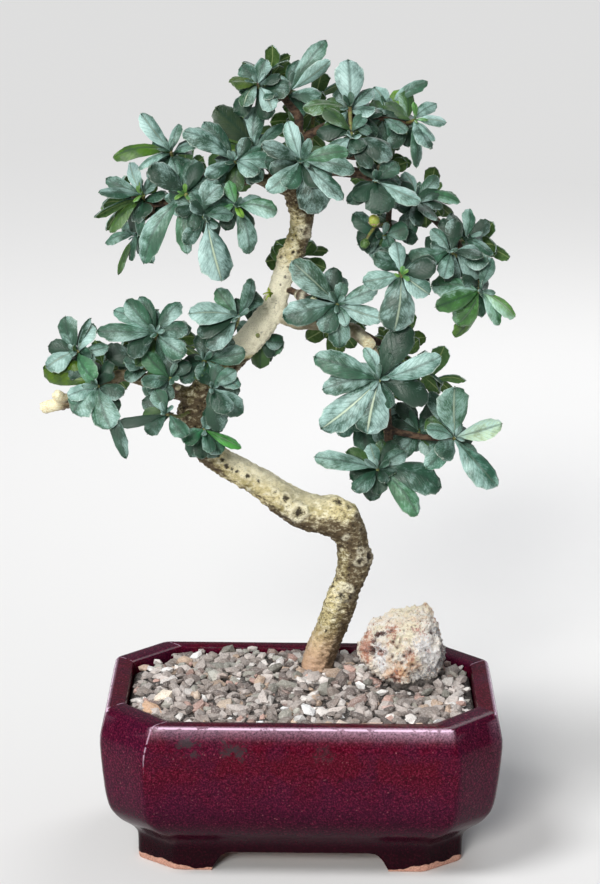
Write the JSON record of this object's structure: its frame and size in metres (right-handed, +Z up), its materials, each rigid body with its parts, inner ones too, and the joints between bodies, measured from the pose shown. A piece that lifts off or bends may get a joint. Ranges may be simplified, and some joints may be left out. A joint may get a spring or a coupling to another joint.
{
  "type": "fukien tea bonsai",
  "caption": "Fukien tea bonsai trained in an S curve, with toothed dark green leaves, in a glazed eight-cornered pot on feet, with gravel and a rock.",
  "frame": {"origin": "on the surface that the pot's feet stand on, under the middle of the whole object's bounding box", "axes": "+Z up, -Y towards the front of the tree, +X to its right; the longest extent is the height, along Z"},
  "size_m": [0.2412, 0.1702, 0.4077],
  "materials": {
    "glaze": "gloss",
    "compost": "matt",
    "gravel": "matt",
    "rock": "rough",
    "bark": "matt",
    "leaf": "satin",
    "berry": "satin",
    "petal": "matt"
  },
  "bodies": {
    "root": {"pot": "glaze", "soil": "compost", "gravel": "gravel", "rock": "rock", "trunk": "bark", "berry_sprig": "berry", "flower_sprig": "petal", "shoot_crown_left_1": "leaf", "shoot_crown_left_2": "leaf", "shoot_crown_left_3": "leaf", "shoot_crown_left_4": "leaf", "shoot_crown_left_5": "leaf", "shoot_crown_left_6": "leaf", "shoot_crown_left_7": "leaf", "shoot_crown_top_1": "leaf", "shoot_crown_top_2": "leaf", "shoot_crown_top_3": "leaf", "shoot_crown_top_4": "leaf", "shoot_crown_top_5": "leaf", "shoot_crown_front": "leaf", "shoot_crown_right_1": "leaf", "shoot_crown_right_2": "leaf", "shoot_crown_right_3": "leaf", "shoot_crown_right_4": "leaf", "shoot_crown_right_5": "leaf", "shoot_crown_right_6": "leaf", "shoot_crown_right_7": "leaf", "shoot_middle_right": "leaf", "shoot_middle_left": "leaf", "shoot_middle_back": "leaf", "shoot_lower_right_1": "leaf", "shoot_lower_right_2": "leaf", "shoot_lower_right_3": "leaf", "shoot_lower_right_4": "leaf", "shoot_lower_right_5": "leaf", "shoot_lower_left_1": "leaf", "shoot_lower_left_2": "leaf", "shoot_lower_left_3": "leaf", "shoot_lower_left_4": "leaf", "shoot_lower_left_5": "leaf", "shoot_lower_left_6": "leaf", "shoot_lower_left_7": "leaf", "shoot_lower_left_8": "leaf", "shoot_lower_left_9": "leaf", "shoot_crown_back_1": "leaf", "shoot_crown_back_2": "leaf", "shoot_crown_back_3": "leaf", "shoot_crown_back_4": "leaf", "shoot_crown_back_5": "leaf", "shoot_crown_back_6": "leaf", "shoot_crown_back_7": "leaf", "shoot_crown_back_8": "leaf", "shoot_crown_back_9": "leaf", "shoot_lower_back_1": "leaf", "shoot_lower_back_2": "leaf", "shoot_lower_back_3": "leaf", "shoot_lower_back_4": "leaf", "shoot_lower_back_5": "leaf", "shoot_lower_back_6": "leaf"}
  },
  "joints": []
}
